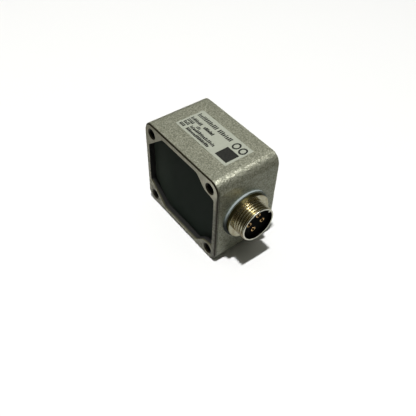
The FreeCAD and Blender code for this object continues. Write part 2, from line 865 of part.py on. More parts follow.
make_housing()
make_circuit_board()
make_oscillator_coil()
make_chip("amplifier_chip", "amplifier_body_length", "amplifier_along", "amplifier_up")
make_chip("logic_chip", "logic_body_length", "logic_along", "logic_up")
make_voltage_regulator()
make_reservoir_capacitor()
make_trimmer_capacitor()
make_chip_parts()
make_connector_shell()
make_connector_insert()
for contact_number, (contact_across, contact_up) in enumerate(contact_places(), start=1):
    make_contact(contact_number, contact_across, contact_up)
make_connector_nut()
make_lead_wires()
make_coax_body()
make_coax_dielectric()
make_coax_contact()
make_coax_nut()
make_coax_lead()
document.recompute()

SOLID_TYPES = ("PartDesign::Body", "Part::Box")
inner_pieces = [item for item in document.Objects if item.TypeId in SOLID_TYPES]
potting_piece = make_potting(inner_pieces)
gasket = make_gasket()
label = make_label()
document.recompute()


# Each piece is written once its shape has been found sound.

def write_piece(piece):
    shape = piece.Shape
    if shape.isNull() or not shape.isValid() or len(shape.Solids) != 1:
        raise ValueError(f"{piece.Label} is not one sound solid")
    shape.exportStep(f"parts/{piece.Label}.step")


for item in document.Objects:
    if "Invalid" in item.State or "Error" in item.State:
        raise ValueError(f"{item.Label} did not compute")

os.makedirs("parts", exist_ok=True)
for finished in inner_pieces + [potting_piece, gasket, label]:
    write_piece(finished)
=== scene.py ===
import math
import random

import bmesh
import bpy
from mathutils import Matrix, Vector


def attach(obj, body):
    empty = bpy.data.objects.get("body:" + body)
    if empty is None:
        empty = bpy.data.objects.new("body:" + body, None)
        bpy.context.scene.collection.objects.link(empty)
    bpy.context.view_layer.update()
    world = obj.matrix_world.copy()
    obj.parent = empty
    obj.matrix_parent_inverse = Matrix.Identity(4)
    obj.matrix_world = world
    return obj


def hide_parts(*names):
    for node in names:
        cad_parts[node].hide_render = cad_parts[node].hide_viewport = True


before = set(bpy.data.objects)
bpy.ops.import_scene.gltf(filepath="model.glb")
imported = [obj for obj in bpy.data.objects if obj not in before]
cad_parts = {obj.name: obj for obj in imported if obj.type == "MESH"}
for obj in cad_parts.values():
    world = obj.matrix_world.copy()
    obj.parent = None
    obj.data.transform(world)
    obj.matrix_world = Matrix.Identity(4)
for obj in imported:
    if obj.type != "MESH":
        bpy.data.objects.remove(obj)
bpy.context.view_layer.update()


# The casting: one pressure die-cast aluminium box with a rounded outline, open at the front, with
# four through holes. It is powder coated in silver-grey with metal flake. The rim round the
# opening was dressed flat afterwards, which leaves it smoother, and its outer edge is dark.

# Its faces, in millimetres, and its cavity's walls and screw holes as measured from its middle.
WALL_X = 20.25
FRONT_Y, BACK_Y = -12.5, 12.5
MIDDLE_Z, TOP_Z = 18.0, 36.0
CAVITY_X, CAVITY_Z = 18.25, 16.0
HOLE_X, HOLE_Z, HOLE_RADIUS = 16.0, 14.25, 1.7


def linear(colour):
    """Turns an sRGB hex colour into linear red, green, blue and alpha."""
    channels = [int(colour[start:start + 2], 16) / 255 for start in (1, 3, 5)]
    curved = [c / 12.92 if c <= 0.04045 else ((c + 0.055) / 1.055) ** 2.4 for c in channels]
    return (*curved, 1.0)


def add_node(material, kind, inputs=None, **settings):
    """Adds one shader node; inputs are values or the outputs of other nodes."""
    tree = material.node_tree
    node = tree.nodes.new(f"ShaderNode{kind}")
    for setting, value in settings.items():
        setattr(node, setting, value)
    for socket, value in (inputs or {}).items():
        if isinstance(value, bpy.types.NodeSocket):
            tree.links.new(value, node.inputs[socket])
        else:
            node.inputs[socket].default_value = value
    return node


def new_finish(name):
    material = bpy.data.materials.new(name)
    material.use_nodes = True
    material.node_tree.nodes.clear()
    return material


def millimetres(material):
    """The place on the part, in the millimetres that every pattern is drawn in."""
    metres = add_node(material, "TexCoord").outputs["Object"]
    return add_node(material, "VectorMath", {
        0: metres, "Scale": 1000.0}, operation="SCALE").outputs[0]


def strength(material, most, *limits):
    """How strongly a mark shows: the most that it may, times a smooth ramp for each limit.

    A limit is a value, where its ramp starts and where it is full, which may be the lower one.
    """
    amount = most
    for value, start, full in limits:
        ramp = add_node(material, "MapRange", {
            "Value": value, "From Min": start, "From Max": full}, interpolation_type="SMOOTHSTEP")
        amount = add_node(material, "Math", {
            0: ramp.outputs[0], 1: amount}, operation="MULTIPLY").outputs[0]
    return amount


def stained(material, under, over, most, *limits):
    """One colour with another laid on it, as strongly as the limits say."""
    return add_node(material, "Mix", {
        0: strength(material, most, *limits), 6: under, 7: over}, data_type="RGBA").outputs[2]


def dress(material, *nodes):
    for name in nodes:
        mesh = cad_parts[name].data
        mesh.materials.clear()
        mesh.materials.append(material)


# Powder coat with aluminium flake: dry sprayed and stoved. The eye sees a grey-green silver that
# sparkles in fine points. The real flake is 0.05 mm; it is drawn at 0.3 mm, as coarse as shows.
powder_coat = new_finish("powder_coat_silver_grey")
mm = millimetres(powder_coat)
axes = add_node(powder_coat, "SeparateXYZ", {0: mm}).outputs
facing = add_node(powder_coat, "NewGeometry").outputs["True Normal"]
lie = add_node(powder_coat, "SeparateXYZ", {0: facing}).outputs

grain = add_node(powder_coat, "TexNoise", {
    "Vector": mm, "Scale": 1.7, "Detail": 3.0, "Roughness": 0.7}).outputs["Fac"]
clouds = add_node(powder_coat, "TexNoise", {
    "Vector": mm, "Scale": 0.12, "Detail": 2.0}).outputs["Fac"]
flakes = add_node(powder_coat, "TexVoronoi", {"Vector": mm, "Scale": 3.4}).outputs["Color"]
flake_draw = add_node(powder_coat, "SeparateXYZ", {0: flakes}).outputs
# One flake in ten is a bright one.
BRIGHT_FROM, BRIGHT_FULL = 0.88, 0.92

silver = stained(powder_coat, linear("#717263"), linear("#aaaa97"), 1.0, (grain, 0.3, 0.7))
silver = stained(powder_coat, silver, linear("#868879"), 0.25, (clouds, 0.3, 0.7))
silver = stained(powder_coat, silver, linear("#d2d2c4"), 0.3,
                 (flake_draw["X"], BRIGHT_FROM, BRIGHT_FULL))

# The dressed rim is speckled pale and brown, and brown round each hole. Painted light makes it
# paler towards the top and brightest towards its upper right corner, painted shade darkens its
# right-hand side lower down, and it is brown towards its right-hand edge.
across = add_node(powder_coat, "Math", {0: axes["X"]}, operation="ABSOLUTE").outputs[0]
level = add_node(powder_coat, "Math", {
    0: axes["Z"], 1: MIDDLE_Z}, operation="SUBTRACT").outputs[0]
level = add_node(powder_coat, "Math", {0: level}, operation="ABSOLUTE").outputs[0]
corner = add_node(powder_coat, "CombineXYZ", {"X": across, "Z": level}).outputs[0]
hole_distance = add_node(powder_coat, "VectorMath", {
    0: corner, 1: (HOLE_X, 0.0, HOLE_Z)}, operation="DISTANCE").outputs["Value"]
spots = add_node(powder_coat, "TexNoise", {
    "Vector": mm, "Scale": 0.9, "Detail": 2.0, "Roughness": 0.6}).outputs["Fac"]
rim = stained(powder_coat, linear("#727062"), linear("#949182"), 1.0, (grain, 0.3, 0.7))
for mark, most, *limits in (
        ("#c9c1a8", 0.8, (spots, 0.5, 0.72)),
        ("#574b36", 0.7, (spots, 0.48, 0.3)),
        ("#4e4436", 0.6, (hole_distance, HOLE_RADIUS + 1.2, HOLE_RADIUS)),
        # Painted light: paler towards the top.
        ("#d0ccb8", 0.65, (axes["Z"], MIDDLE_Z - 2.0, TOP_Z - 2.0)),
        ("#4a4030", 0.8, (axes["X"], WALL_X - 1.25, WALL_X - 0.65)),
        # Painted shade: darker on the right-hand side lower down.
        ("#45453b", 0.45, (axes["X"], WALL_X - 3.05, WALL_X - 1.85), (axes["Z"], 27.0, 23.0)),
        # Painted highlight: brightest towards the upper right corner.
        ("#e2decb", 0.8, (axes["X"], HOLE_X - 4.0, HOLE_X), (axes["Z"], 29.0, 32.0))):
    rim = stained(powder_coat, rim, linear(mark), most, *limits)

# The walls of the cavity fade from olive to black, a painted shade deepening into the recess. The
# one on the left, which faces right, is painted black all over as shade.
inside = strength(powder_coat, 1.0, (across, CAVITY_X + 0.45, CAVITY_X + 0.25),
                  (level, CAVITY_Z + 0.4, CAVITY_Z + 0.2), (lie["Y"], -0.5, -0.3),
                  (axes["Y"], BACK_Y - 0.6, BACK_Y - 0.9))
wall_shade = stained(powder_coat, linear("#4a4832"), linear("#060604"), 1.0,
                (axes["Y"], FRONT_Y + 0.05, FRONT_Y + 0.8))
wall_shade = stained(powder_coat, wall_shade, linear("#0a0a07"), 1.0, (lie["X"], 0.85, 0.95))

# The rim lies on the front, a dark strip runs down the right-hand face beside its right-hand
# edge, and its bevelled edge is dark.
shade = stained(powder_coat, silver, rim, 1.0, (lie["Y"], -0.9, -0.97),
                (axes["Y"], FRONT_Y + 0.2, FRONT_Y + 0.05))
shade = stained(powder_coat, shade, linear("#1c190f"), 0.85, (lie["X"], 0.85, 0.95),
                (axes["Y"], FRONT_Y + 1.0, FRONT_Y + 0.55))
shade = stained(powder_coat, shade, linear("#2e281b"), 1.0,
                (axes["Y"], FRONT_Y + 0.5, FRONT_Y + 0.35),
                (lie["Y"], -0.3, -0.5), (lie["Y"], -0.95, -0.85))
shade = add_node(powder_coat, "Mix", {0: inside, 6: shade, 7: wall_shade}, data_type="RGBA").outputs[2]

# The flakes in the coat lie about six degrees out of true, so that each catches its own light.
tilt = add_node(powder_coat, "VectorMath", {
    0: flakes, 1: (0.5, 0.5, 0.5)}, operation="SUBTRACT").outputs[0]
tilt = add_node(powder_coat, "VectorMath", {0: tilt, "Scale": 0.2}, operation="SCALE").outputs[0]
orange_peel = add_node(powder_coat, "TexNoise", {
    "Vector": mm, "Scale": 1.6, "Detail": 2.0}).outputs["Fac"]
skin = add_node(powder_coat, "Bump", {
    "Height": orange_peel, "Strength": 0.35, "Distance": 0.0001}).outputs[0]
lean = add_node(powder_coat, "VectorMath", {0: skin, 1: tilt}, operation="ADD").outputs[0]
lean = add_node(powder_coat, "VectorMath", {0: lean}, operation="NORMALIZE").outputs[0]

# The resin that wetted the walls hides the flake and is duller than the coat.
bare = add_node(powder_coat, "Math", {0: 1.0, 1: inside}, operation="SUBTRACT").outputs[0]
metal = add_node(powder_coat, "MapRange", {
    "Value": flake_draw["Y"], "To Min": 0.35, "To Max": 0.75}).outputs[0]
metal = add_node(powder_coat, "Math", {0: metal, 1: bare}, operation="MULTIPLY").outputs[0]
gloss = add_node(powder_coat, "MapRange", {
    "Value": flake_draw["X"], "From Min": BRIGHT_FROM, "From Max": BRIGHT_FULL,
    "To Min": 0.36, "To Max": 0.31}, interpolation_type="SMOOTHSTEP").outputs[0]
gloss = add_node(powder_coat, "Math", {
    0: inside, 1: 0.5, 2: gloss}, operation="MULTIPLY_ADD").outputs[0]
shader = add_node(powder_coat, "BsdfPrincipled", {
    "Base Color": shade, "Metallic": metal, "Roughness": gloss, "Normal": lean})
add_node(powder_coat, "OutputMaterial", {"Surface": shader.outputs[0]})
dress(powder_coat, "housing")


# The circuit board: a square of glass-fibre epoxy with green solder resist. It stands on two posts
# cast in the floor, wholly inside the resin.

# Etched and screen printed: a deep green with a faint weave, drawn at its real 0.4 mm.
glass_epoxy = new_finish("glass_epoxy_solder_resist")
mm = millimetres(glass_epoxy)
weave = add_node(glass_epoxy, "TexChecker", {
    "Vector": mm, "Scale": 2.5, "Color1": linear("#0f4a2a"), "Color2": linear("#125230")})
traces = add_node(glass_epoxy, "TexBrick", {
    "Vector": mm, "Scale": 0.6, "Color1": linear("#0f4a2a"), "Color2": linear("#15603a"),
    "Mortar": linear("#1c6b40")})
green = add_node(glass_epoxy, "Mix", {
    0: 0.4, 6: weave.outputs["Color"], 7: traces.outputs["Color"]}, data_type="RGBA").outputs[2]
shader = add_node(glass_epoxy, "BsdfPrincipled", {"Base Color": green, "Roughness": 0.35})
add_node(glass_epoxy, "OutputMaterial", {"Surface": shader.outputs[0]})
dress(glass_epoxy, "circuit_board")


# The parts on the board: moulded chips and a tantalum brick, a ferrite coil former, fired ceramic
# capacitors and resistors and a ceramic trimmer, each soldered to its pads.

def speckled(name, dark, light, size, roughness, metallic=0.0, specular=0.5):
    """A plain moulded or fired stuff: two tones and a light relief, in a grain of size mm."""
    material = new_finish(name)
    grain = add_node(material, "TexNoise", {
        "Vector": millimetres(material), "Scale": 1 / size, "Detail": 2.0}).outputs["Fac"]
    tone = add_node(material, "Mix", {
        0: grain, 6: linear(dark), 7: linear(light)}, data_type="RGBA").outputs[2]
    skin = add_node(material, "Bump", {
        "Height": grain, "Strength": 0.05, "Distance": size * 0.0003}).outputs[0]
    shader = add_node(material, "BsdfPrincipled", {
        "Base Color": tone, "Metallic": metallic, "Roughness": roughness, "Normal": skin,
        "Specular IOR Level": specular})
    add_node(material, "OutputMaterial", {"Surface": shader.outputs[0]})
    return material


# Transfer-moulded epoxy: matt black with a fine even grain.
chip_epoxy = speckled("moulded_chip_epoxy", "#141414", "#1d1d1c", 0.1, 0.6)
dress(chip_epoxy, "amplifier_chip", "logic_chip", "voltage_regulator")
# Moulded over a tantalum slug: ochre and slightly glossy.
ochre_epoxy = speckled("moulded_ochre_epoxy", "#b4862c", "#c49437", 0.2, 0.4)
dress(ochre_epoxy, "reservoir_capacitor")
# Sintered ferrite: dark grey, dull, with a slight sparkle.
ferrite = speckled("sintered_ferrite", "#2b2b2c", "#3a3a3b", 0.15, 0.7)
dress(ferrite, "oscillator_coil")
# Fired ceramics: tan and brown with a dry surface.
trimmer_ceramic = speckled("fired_ceramic_brown", "#8f6f4d", "#a17e58", 0.2, 0.5)
dress(trimmer_ceramic, "trimmer_capacitor")
chip_ceramic = speckled("fired_ceramic_tan", "#7b6248", "#8c7155", 0.1, 0.5)
dress(chip_ceramic, "chip_capacitor_1", "chip_capacitor_2", "chip_capacitor_3")
# Glazed thick film: near black with a glassy top.
resistor_glaze = speckled("glazed_thick_film", "#17181a", "#212327", 0.1, 0.25)
dress(resistor_glaze, "chip_resistor_1", "chip_resistor_2", "chip_resistor_3", "chip_resistor_4")


# The plug connector's shell: turned brass with a cut thread, nickel plated. It is one piece with
# its flange and key, and a nut behind the wall holds it. It replaces the plain solid so that the
# thread is a real right-handed helix.

MM = 0.001
PLUG_Y, PLUG_Z = -0.65, 18.0
PLUG_PITCH = 1.0
PLUG_CREST, PLUG_ROOT, PLUG_BORE = 6.5, 5.95, 5.8
PLUG_SIDES = 180
FLANGE_X, FLANGE_RADIUS = 2.1, 8.4

# A thread's root and flank as shares of half a pitch, and its run-out at both ends in pitches.
ROOT_FLAT, FLANK = 0.08, 0.7
RUN_OUT = 0.12
# Edges that turn by more degrees than this stay sharp.
SHARP_EDGE = 35.0


def thread_rows(start, end, crest, root, pitch, rows_per_pitch):
    """Profile rows of a thread: x, crest radius, pitch, depth and how high the crest has risen."""
    count = round((end - start) / pitch * rows_per_pitch)
    for index in range(count + 1):
        x = start + (end - start) * index / count
        from_end = min(x - start, end - x)
        yield x, crest, pitch, crest - root, min(1.0, from_end / (RUN_OUT * pitch))


def turned_rings(profile, sides, middle, outward):
    """Rings of points round an axis along X; a profile row is x and radius, or a thread's row."""
    rings = []
    for x, radius, *thread in profile:
        ring = []
        for side in range(sides):
            turn = 2 * math.pi * side / sides
            depth = 0.0
            if thread:
                pitch, full_depth, risen = thread
                from_root = abs(2 * ((x / pitch - turn / (2 * math.pi)) % 1.0) - 1)
                climbed = min(1.0, max(0.0, (from_root - ROOT_FLAT) / FLANK))
                rounded = climbed * climbed * (3 - 2 * climbed)
                depth = full_depth * (1 - risen * rounded)
            reach = radius - depth
            ring.append(Vector(middle) + Vector((
                outward * x, reach * math.cos(turn), outward * reach * math.sin(turn))))
        rings.append(ring)
    return rings


def join_rings(mesh, rings, capped=False):
    """Adds a closed skin: each ring joins the next, and the last is capped or joins the first."""
    rows = [[mesh.verts.new(point * MM) for point in ring] for ring in rings]
    for row, following in zip(rows, rows[1:] if capped else rows[1:] + rows[:1]):
        for index in range(len(row)):
            beside = (index + 1) % len(row)
            mesh.faces.new((row[index], row[beside], following[beside], following[index]))
    if capped:
        mesh.faces.new(rows[0])
        mesh.faces.new(rows[-1])


def add_piece(name, mesh, material, replaced=()):
    """Makes a smooth piece with its sharp edges kept, and lets it ride on the part."""
    bmesh.ops.recalc_face_normals(mesh, faces=mesh.faces)
    data = bpy.data.meshes.new(name)
    mesh.to_mesh(data)
    mesh.free()
    for face in data.polygons:
        face.use_smooth = True
    data.set_sharp_from_angle(angle=math.radians(SHARP_EDGE))
    data.materials.append(material)
    piece = bpy.data.objects.new(name, data)
    bpy.context.scene.collection.objects.link(piece)
    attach(piece, "root")
    if replaced:
        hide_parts(*replaced)


# Bright nickel on turned brass: a warm mirror that takes up the table and the room round it, with
# fine lathe lines. The real lines are 0.05 mm apart; they are drawn at 0.2 mm.
nickel = new_finish("nickel_plated_brass")
mm = millimetres(nickel)
axes = add_node(nickel, "SeparateXYZ", {0: mm}).outputs
beside_axis = add_node(nickel, "CombineXYZ", {"Y": axes["Y"], "Z": axes["Z"]}).outputs[0]
radius = add_node(nickel, "VectorMath", {
    0: beside_axis, 1: (0.0, PLUG_Y, PLUG_Z)}, operation="DISTANCE").outputs["Value"]
lathe = add_node(nickel, "TexWave", {
    "Vector": mm, "Scale": 1.6, "Distortion": 1.5, "Detail": 2.0, "Detail Scale": 2.0},
    wave_type="BANDS", bands_direction="X").outputs["Fac"]
stain = add_node(nickel, "TexNoise", {"Vector": mm, "Scale": 0.5, "Detail": 3.0}).outputs["Fac"]
plate = stained(nickel, linear("#ccc7b1"), linear("#b8ae90"), 1.0, (stain, 0.4, 0.65))

# Painted shade lies in the roots of the thread, below a radius of 6.1 mm, and draws it in dark
# lines, which are painted paler on the upper side as light from above.
past_flange = (axes["X"], WALL_X + FLANGE_X, WALL_X + FLANGE_X + 0.1)
root_shade = stained(nickel, linear("#3d3420"), linear("#9c8f60"), 1.0,
                (axes["Z"], PLUG_Z + 0.5, PLUG_Z + 5.0))
plate = stained(nickel, plate, root_shade, 1.0, (radius, PLUG_ROOT + 0.25, PLUG_ROOT + 0.13),
                (radius, PLUG_BORE + 0.05, PLUG_BORE + 0.1), past_flange)
# Painted shade darkens the crests on the lower side of the thread, and the flange's rim is a
# darker olive. The lip's turned end is the brightest plate, the bore is painted black as shade,
# and the key's end is bright again.
for mark, most, *limits in (
        # Painted shade on the crests of the thread's lower side.
        ("#7c6a4e", 0.65, (axes["Z"], PLUG_Z + 1.5, PLUG_Z - 3.5),
         (radius, PLUG_CREST + 0.05, PLUG_CREST), past_flange),
        ("#7d7450", 1.0, (radius, FLANGE_RADIUS - 0.15, FLANGE_RADIUS - 0.05),
         (axes["X"], WALL_X + FLANGE_X - 0.02, WALL_X + FLANGE_X - 0.12)),
        ("#e9e5d6", 1.0, (axes["X"], WALL_X + 6.62, WALL_X + 6.66)),
        # Painted shade: the bore is black.
        ("#080705", 1.0, (radius, PLUG_BORE + 0.06, PLUG_BORE + 0.01)),
        ("#e9e5d6", 1.0, (axes["X"], WALL_X + 6.3, WALL_X + 6.42),
         (radius, PLUG_BORE - 0.02, PLUG_BORE - 0.08))):
    plate = stained(nickel, plate, linear(mark), most, *limits)
polish = add_node(nickel, "MapRange", {
    "Value": stain, "To Min": 0.12, "To Max": 0.26}).outputs[0]
skin = add_node(nickel, "Bump", {
    "Height": lathe, "Strength": 0.12, "Distance": 0.00002}).outputs[0]
shader = add_node(nickel, "BsdfPrincipled", {
    "Base Color": plate, "Metallic": 1.0, "Roughness": polish, "Normal": skin})
add_node(nickel, "OutputMaterial", {"Surface": shader.outputs[0]})

# x from the wall and radius: the bore, the lip and the groove behind it, the thread, the flange,
# and the shank that goes through the wall.
profile = [
    (-5.1, 5.2), (-3.1, 5.2), (-3.1, PLUG_BORE), (6.68, PLUG_BORE),
    (6.75, 5.83), (6.79, 5.88), (6.8, 5.95), (6.8, 6.24), (6.79, 6.3), (6.75, 6.34), (6.7, 6.36),
    (6.64, 6.36), (6.62, 5.97), (6.56, PLUG_ROOT),
    *reversed(list(thread_rows(
        2.12, 6.54, PLUG_CREST, PLUG_ROOT, PLUG_PITCH, rows_per_pitch=28))),
    (FLANGE_X, 8.28), (1.98, FLANGE_RADIUS), (0.82, FLANGE_RADIUS), (0.7, 8.28),
    (0.7, 6.45), (-5.1, 6.45),
]
shell = bmesh.new()
join_rings(shell, turned_rings(profile, PLUG_SIDES, (WALL_X, PLUG_Y, PLUG_Z), 1))

KEY_TURN = math.radians(35.0)
KEY_START, KEY_END = 5.35, 6.55
KEY_ROOT, KEY_TIP = 5.9, 5.2
KEY_HALF_WIDTH = 0.45
KEY_BEVEL = 0.1
key_out = Vector((0, math.cos(KEY_TURN), math.sin(KEY_TURN)))
key_side = Vector((0, -math.sin(KEY_TURN), math.cos(KEY_TURN)))
rings = []
for x, trim in ((KEY_START, 0.0), (KEY_END - KEY_BEVEL, 0.0), (KEY_END, KEY_BEVEL)):
    on_axis = Vector((WALL_X + x, PLUG_Y, PLUG_Z))
    half = KEY_HALF_WIDTH - trim
    rings.append([on_axis + key_out * out + key_side * side for out, side in (
        (KEY_ROOT, -half), (KEY_ROOT, half), (KEY_TIP + KEY_BEVEL, half),
        (KEY_TIP + trim, half - KEY_BEVEL), (KEY_TIP + trim, KEY_BEVEL - half),
        (KEY_TIP + KEY_BEVEL, -half))])
join_rings(shell, rings, capped=True)
add_piece("threaded_shell", shell, nickel, ["connector_shell"])
dress(nickel, "connector_shell", "connector_nut")


# The flat sealing ring between the flange and the wall: punched from pale blue-grey silicone
# sheet. It is matt and shows as a thin pale crescent at the flange's upper left.

# Silicone rubber sheet: soft, dry and slightly dusty, with painted shade darkening its lower half.
silicone = new_finish("silicone_rubber_sheet")
mm = millimetres(silicone)
dust = add_node(silicone, "TexNoise", {"Vector": mm, "Scale": 2.0, "Detail": 2.0}).outputs["Fac"]
axes = add_node(silicone, "SeparateXYZ", {0: mm}).outputs
pale = add_node(silicone, "Mix", {
    0: dust, 6: linear("#869191"), 7: linear("#98a2a2")}, data_type="RGBA").outputs[2]
# Painted shade under the flange: darker along the lower half.
pale = stained(silicone, pale, linear("#2c302e"), 0.88, (axes["Z"], PLUG_Z + 5.5, PLUG_Z - 1.0))
skin = add_node(silicone, "Bump", {
    "Height": dust, "Strength": 0.05, "Distance": 0.00015}).outputs[0]
shader = add_node(silicone, "BsdfPrincipled", {
    "Base Color": pale, "Roughness": 0.75, "Normal": skin})
add_node(silicone, "OutputMaterial", {"Surface": shader.outputs[0]})
dress(silicone, "sealing_gasket")


# The insulator that holds the four contacts: a moulded disc of black polyamide, deep inside the
# shell, where little light reaches it.

# Moulded polyamide: black and dull, painted darker than its own black as the shade deep in the
# shell.
polyamide = speckled("moulded_black_polyamide", "#020202", "#040404", 0.3, 0.85, specular=0.1)
dress(polyamide, "connector_insert")


# The four contacts: turned brass sleeves, gold plated, pressed into the insulator. Each has a
# bore for a 1 mm pin and is slit lengthwise into two springs, and their rounded mouths stand just
# proud of the insulator's face.

CONTACTS = ["contact_1", "contact_2", "contact_3", "contact_4"]
CONTACT_TURN = math.radians(31.5)
HALF_ALONG, HALF_BESIDE = 2.1, 1.95
SLEEVE, SLEEVE_BORE, SLEEVE_SIDES = 0.95, 0.525, 32
HALF_SLIT = 0.17
SHANK_START, SHANK_END = -6.6, 1.5
MOUTH_X = 5.36
MOUTH_BEND = (SLEEVE - SLEEVE_BORE) / 2
MOUTH_STEPS, SWEEP_STEPS = 8, 12

shank = [(SHANK_START, 0.02), (0.4, 0.02), (0.4, SLEEVE_BORE),
         (SHANK_END, SLEEVE_BORE), (SHANK_END, SLEEVE), (SHANK_START, SLEEVE)]
spring = [(SHANK_END - 0.1, SLEEVE), (SHANK_END - 0.1, SLEEVE_BORE)]
for step in range(MOUTH_STEPS + 1):
    bend = math.pi * step / MOUTH_STEPS
    spring.append((MOUTH_X + MOUTH_BEND * math.sin(bend),
                   SLEEVE - MOUTH_BEND * (1 + math.cos(bend))))


def add_spring(mesh, y, z, facing_turn):
    """Half a slit sleeve: the profile swept round from one side of the slit to the other."""
    rings = []
    for step in range(SWEEP_STEPS + 1):
        ring = []
        for x, radius in spring:
            reach = math.pi / 2 - math.asin(HALF_SLIT / radius)
            turn = facing_turn + reach * (2 * step / SWEEP_STEPS - 1)
            ring.append(Vector((
                WALL_X + x, y + radius * math.cos(turn), z + radius * math.sin(turn))))
        rings.append(ring)
    join_rings(mesh, rings, capped=True)


sleeves = bmesh.new()
for along in (-HALF_ALONG, HALF_ALONG):
    for beside in (-HALF_BESIDE, HALF_BESIDE):
        y = PLUG_Y + along * math.cos(CONTACT_TURN) - beside * math.sin(CONTACT_TURN)
        z = PLUG_Z + along * math.sin(CONTACT_TURN) + beside * math.cos(CONTACT_TURN)
        join_rings(sleeves, turned_rings(shank, SLEEVE_SIDES, (WALL_X, y, z), 1))
        add_spring(sleeves, y, z, CONTACT_TURN)
        add_spring(sleeves, y, z, CONTACT_TURN + math.pi)

# Gold plate over nickel: a warm yellow mirror. The plug's contacts are painted dark behind their
# mouths as shade in their bores. The jack on the other wall is bright all over.
gold = new_finish("gold_plated_brass")
mm = millimetres(gold)
wear = add_node(gold, "TexNoise", {"Vector": mm, "Scale": 2.0, "Detail": 2.0}).outputs["Fac"]
plate = add_node(gold, "Mix", {
    0: wear, 6: linear("#e6b878"), 7: linear("#f3d09c")}, data_type="RGBA").outputs[2]
axes = add_node(gold, "SeparateXYZ", {0: mm}).outputs
# Painted shade behind the mouths of the plug's contacts.
plate = stained(gold, plate, linear("#150f08"), 1.0,
                (axes["X"], 10.0, 11.0), (axes["X"], WALL_X + 5.35, WALL_X + 5.2))
polish = add_node(gold, "MapRange", {"Value": wear, "To Min": 0.1, "To Max": 0.2}).outputs[0]
shader = add_node(gold, "BsdfPrincipled", {
    "Base Color": plate, "Metallic": 1.0, "Roughness": polish})
add_node(gold, "OutputMaterial", {"Surface": shader.outputs[0]})
add_piece("contact_sleeves", sleeves, gold, CONTACTS)
dress(gold, *CONTACTS)


# The leads from the contacts to the board: square copper wire, hot-dip tinned. They are soldered
# at both ends and lie inside the resin, as the coaxial jack's own lead does.

# Tinned copper: a soft grey metal with a slightly frosted skin.
tinned_copper = speckled("tinned_copper_wire", "#a3a3a0", "#b8b8b4", 0.3, 0.35, metallic=1.0)
dress(tinned_copper, "lead_wire_1", "lead_wire_2", "lead_wire_3", "lead_wire_4", "coax_lead")


# The coaxial jack on the hidden left wall: gold-plated brass with a quarter-inch, 36 threads per
# inch thread and a hexagon flange, and a nut behind the wall.

JACK_Z = 18.0
JACK_PITCH = 25.4 / 36
JACK_CREST, JACK_ROOT = 3.175, 2.795
JACK_SIDES = 96
HEXAGON_CORNER, HEXAGON_THICKNESS = 4.619, 2.0

# x from the wall and radius: the bore, the mouth, the thread and the shank.
profile = [
    (-4.5, 2.05), (7.55, 2.05), (7.55, 2.3), (9.4, 2.3), (9.5, 2.4), (9.5, 2.72), (9.3, 2.8),
    *reversed(list(thread_rows(
        2.2, 9.2, JACK_CREST, JACK_ROOT, JACK_PITCH, rows_per_pitch=12))),
    (2.0, 2.8), (-0.1, 2.8), (-0.1, 3.12), (-4.5, 3.12),
]
jack = bmesh.new()
join_rings(jack, turned_rings(profile, JACK_SIDES, (-WALL_X, 0.0, JACK_Z), -1))
rings = []
for x, radius in ((0.0, 2.6), (HEXAGON_THICKNESS, 2.6), (HEXAGON_THICKNESS, 4.35),
                  (HEXAGON_THICKNESS - 0.2, HEXAGON_CORNER), (0.0, HEXAGON_CORNER)):
    ring = []
    for corner in range(6):
        turn = math.radians(60 * corner)
        ring.append(Vector((
            -WALL_X - x, radius * math.sin(turn), JACK_Z + radius * math.cos(turn))))
    rings.append(ring)
join_rings(jack, rings)
add_piece("threaded_jack", jack, gold, ["coax_body"])
dress(gold, "coax_body", "coax_contact", "coax_nut")

# Fluorocarbon insulator: turned from rod, waxy white.
fluorocarbon = speckled("turned_fluorocarbon", "#dcdcd6", "#e8e8e3", 0.4, 0.4)
dress(fluorocarbon, "coax_dielectric")


# The potting: two-part black resin poured into the cavity to 2.2 mm below the rim, where it set
# level and smooth.

# Cast epoxy: near black, smooth and slightly hazy, with a faint unevenness 7 to 8 mm across. Its
# left end is paler.
resin = new_finish("cast_black_epoxy")
mm = millimetres(resin)
axes = add_node(resin, "SeparateXYZ", {0: mm}).outputs
black = stained(resin, linear("#4a524b"), linear("#2b332d"), 1.0, (axes["X"], -18.0, -4.0))
haze = add_node(resin, "TexNoise", {"Vector": mm, "Scale": 0.12, "Detail": 2.0}).outputs["Fac"]
haze = add_node(resin, "Math", {0: haze, 1: 0.3}, operation="MULTIPLY").outputs[0]
black = add_node(resin, "Mix", {
    0: haze, 6: black, 7: linear("#2a3330")}, data_type="RGBA").outputs[2]
ripple = add_node(resin, "TexNoise", {"Vector": mm, "Scale": 0.15, "Detail": 1.0}).outputs["Fac"]
skin = add_node(resin, "Bump", {
    "Height": ripple, "Strength": 0.3, "Distance": 0.0002}).outputs[0]
shader = add_node(resin, "BsdfPrincipled", {
    "Base Color": black, "Roughness": 0.42, "Specular IOR Level": 0.02, "Normal": skin})
add_node(resin, "OutputMaterial", {"Surface": shader.outputs[0]})
dress(resin, "potting")


# The label place on top: a pale printed polyester film, stuck down, with generic marks only: rows
# of plain upright strokes, a plain block and two rings.

# Polyester film: pale greenish grey with a matt lacquer.
film = speckled("matt_polyester_film", "#94988a", "#a4a799", 1.0, 0.45)
dress(film, "label")

LABEL_LEFT, LABEL_RIGHT = -12.45, 13.95
LABEL_NEAR, LABEL_FAR = -5.1, 6.5
LABEL_CUT = 0.3
FILM_TOP = 36.1
PRINT_FOOT, PRINT_TOP = 36.08, 36.12


def flat_prism(mesh, outline, low, high):
    """A thin closed sheet with that outline in x and y."""
    join_rings(mesh, [[Vector((x, y, z)) for x, y in outline] for z in (low, high)], capped=True)


